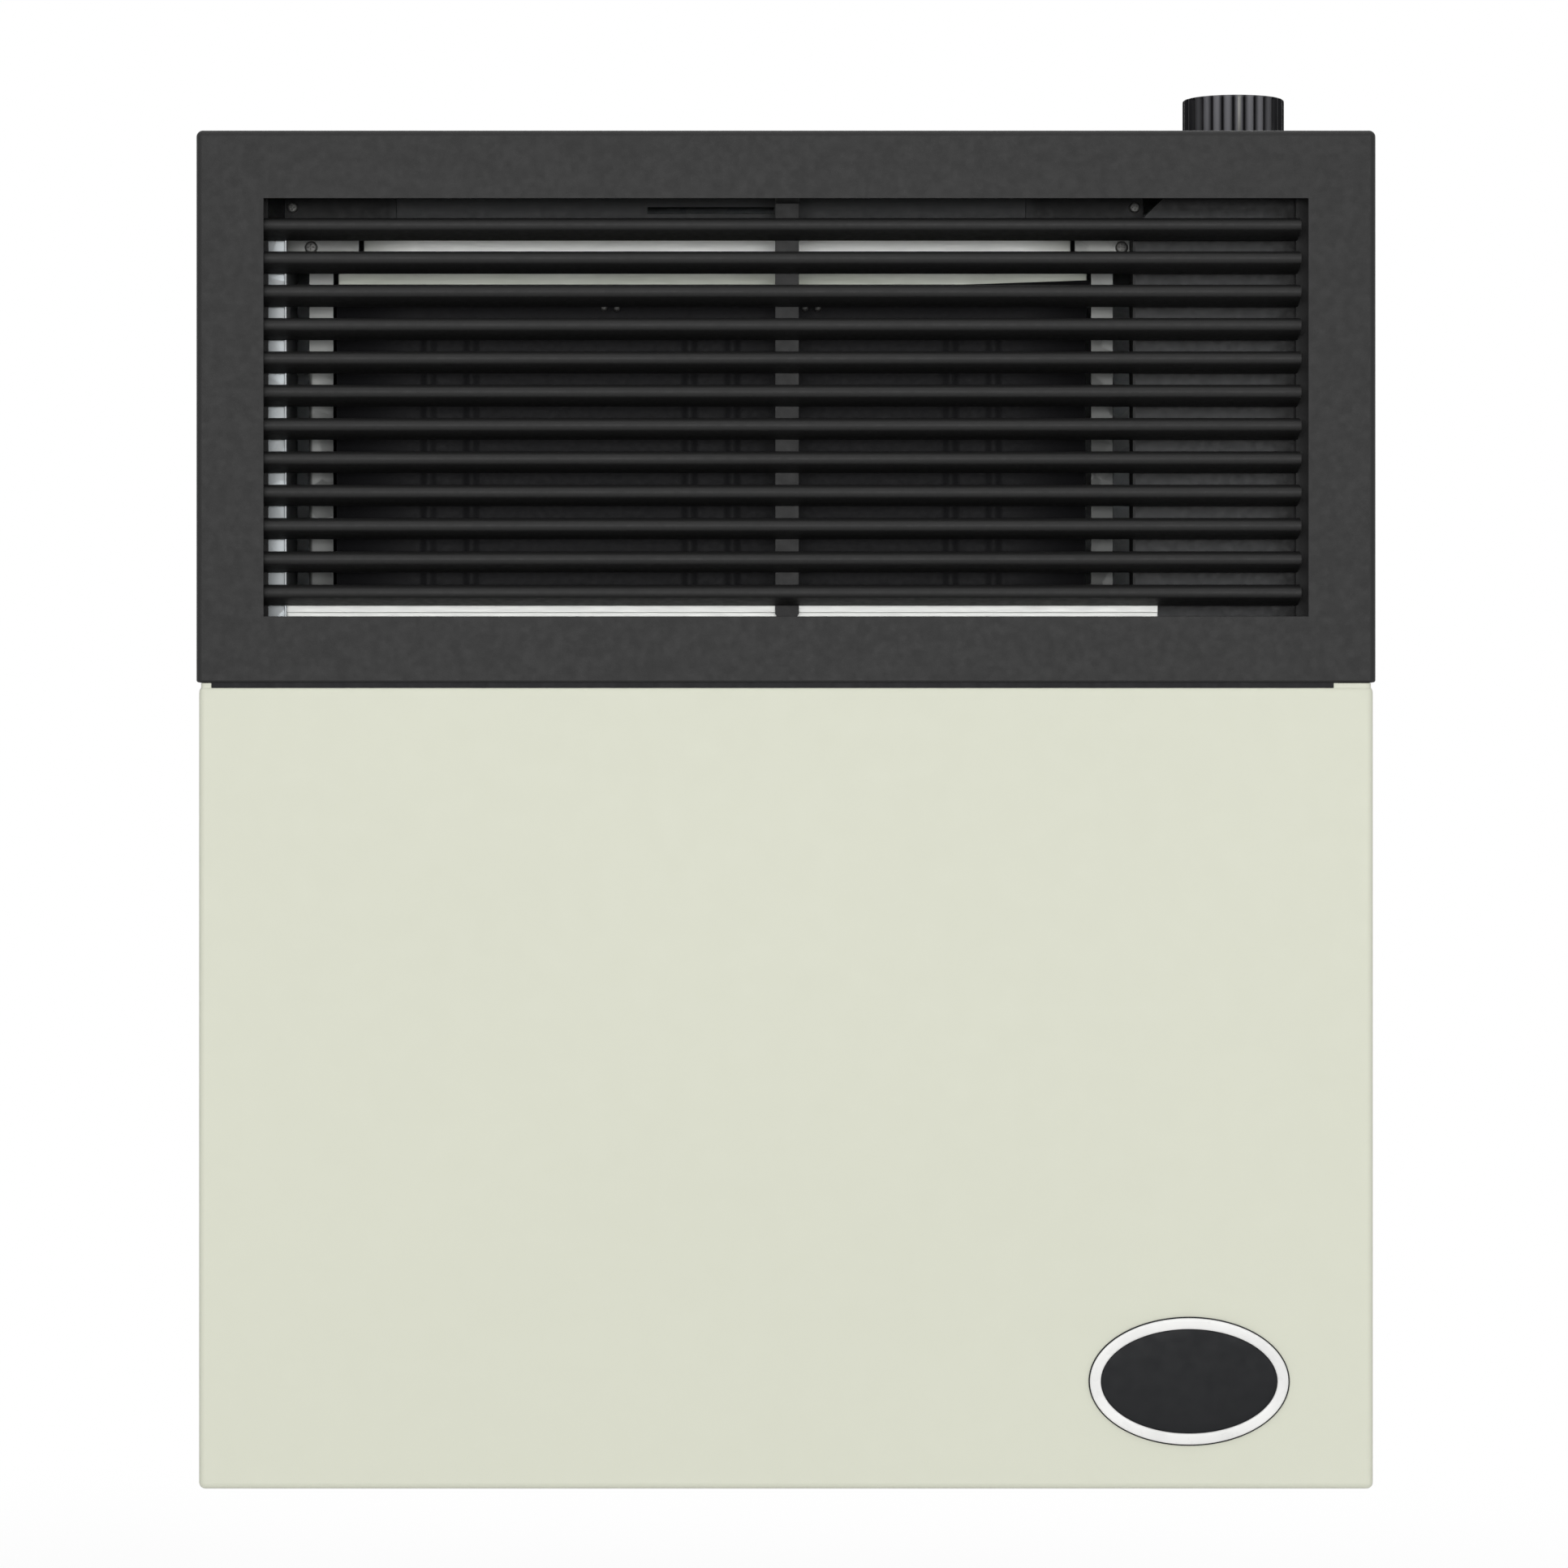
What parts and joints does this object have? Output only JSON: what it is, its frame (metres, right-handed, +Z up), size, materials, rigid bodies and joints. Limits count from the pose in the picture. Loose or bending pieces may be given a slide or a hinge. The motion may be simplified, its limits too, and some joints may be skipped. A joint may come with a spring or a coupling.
{
  "type": "wall mounted gas heater",
  "caption": "Balanced-flue gas wall heater with a black louvred hood, a cream lower cover, a press-and-turn knob on top and a piezo igniter below.",
  "frame": {"origin": "on the flue axis in the plane of the wall, the middle of the four wall bolts", "axes": "+X to the right seen from the room, +Y into the wall, +Z up"},
  "size_m": [0.54, 0.2864, 0.6487],
  "materials": {
    "hood_black": "fine-textured satin black powder coat",
    "cover_cream": "smooth satin cream enamel",
    "zinc_sheet": "galvanised sheet with a faint spangle",
    "dull_zinc": "dull galvanised sheet",
    "dull_screw": "dull zinc-plated screws",
    "aluminised_sheet": "bright aluminised sheet",
    "guard_black": "semi-gloss black sheet",
    "stove_enamel": "matt heat-proof black",
    "steel_tube": "drawn steel tube",
    "plated_steel": "bright zinc-plated screws and rod",
    "brass_fittings": "turned brass",
    "copper_tube": "bent copper tube",
    "valve_casting": "die-cast valve body",
    "knob_plastic": "moulded black plastic, slightly worn",
    "igniter_plastic": "black moulded plastic",
    "button_red": "red push button",
    "electrode_ceramic": "white ceramic",
    "window_glass": "heat-proof glass",
    "gasket_fibre": "woven glass fibre",
    "lead_rubber": "silicone ignition lead",
    "badge_white": "white rim",
    "badge_black": "plain black field"
  },
  "bodies": {
    "cabinet": {"wall_bracket": "zinc_sheet", "chassis_back": "zinc_sheet", "hood": "hood_black", "lower_cover": "cover_cream", "casing_screws": "plated_steel", "louvre_01": "hood_black", "louvre_02": "hood_black", "louvre_03": "hood_black", "louvre_04": "hood_black", "louvre_05": "hood_black", "louvre_06": "hood_black", "louvre_07": "hood_black", "louvre_08": "hood_black", "louvre_09": "hood_black", "louvre_10": "hood_black", "louvre_11": "hood_black", "louvre_12": "hood_black", "louvre_strip_left": "hood_black", "louvre_strip_right": "hood_black", "louvre_rib": "hood_black", "badge_rim": "badge_white", "badge_plate": "badge_black", "side_panel_left": "zinc_sheet", "side_shield_left": "dull_zinc", "side_shield_right": "dull_zinc", "front_shield": "aluminised_sheet", "top_deflector": "aluminised_sheet", "deflector_lip": "guard_black", "control_guard": "guard_black", "inner_screws": "dull_screw", "firebox": "stove_enamel", "firebox_front": "stove_enamel", "access_door": "stove_enamel", "door_gasket": "gasket_fibre", "sight_glass": "window_glass", "sight_frame": "steel_tube", "flue_baffle": "stove_enamel", "exhaust_stub": "steel_tube", "air_duct": "zinc_sheet", "intake_collar": "steel_tube", "firebox_brackets": "zinc_sheet", "burner_plate": "zinc_sheet", "main_burner": "steel_tube", "injector": "brass_fittings", "pilot_burner": "brass_fittings", "spark_electrode": "electrode_ceramic", "spark_lead": "lead_rubber", "thermocouple": "copper_tube", "thermostat_bulb": "copper_tube", "burner_pipe": "copper_tube", "pilot_pipe": "copper_tube", "gas_valve": "valve_casting", "control_bracket": "zinc_sheet", "inlet_union": "brass_fittings", "piezo_igniter": "igniter_plastic", "knob_bushing": "knob_plastic"},
    "press_guide": {"valve_plunger": "brass_fittings"},
    "knob_stem": {"knob_rod": "plated_steel", "knob": "knob_plastic"},
    "igniter_push": {"igniter_button": "button_red"}
  },
  "joints": [
    {"name": "knob_press", "type": "slide", "parent": "cabinet", "child": "press_guide", "axis": [0, 0, -1], "range_m": [0, 0.005], "stiffness_N_per_m": 1500, "springref_m": -0.004},
    {"name": "knob_turn", "type": "hinge", "parent": "press_guide", "child": "knob_stem", "pos_m": [0.247, -0.137, 0.19], "axis": [0, 0, 1], "range_deg": [0, 270]},
    {"name": "igniter_press", "type": "slide", "parent": "cabinet", "child": "igniter_push", "axis": [0, 0, 1], "range_m": [0, 0.006], "stiffness_N_per_m": 1000, "springref_m": -0.003}
  ]
}
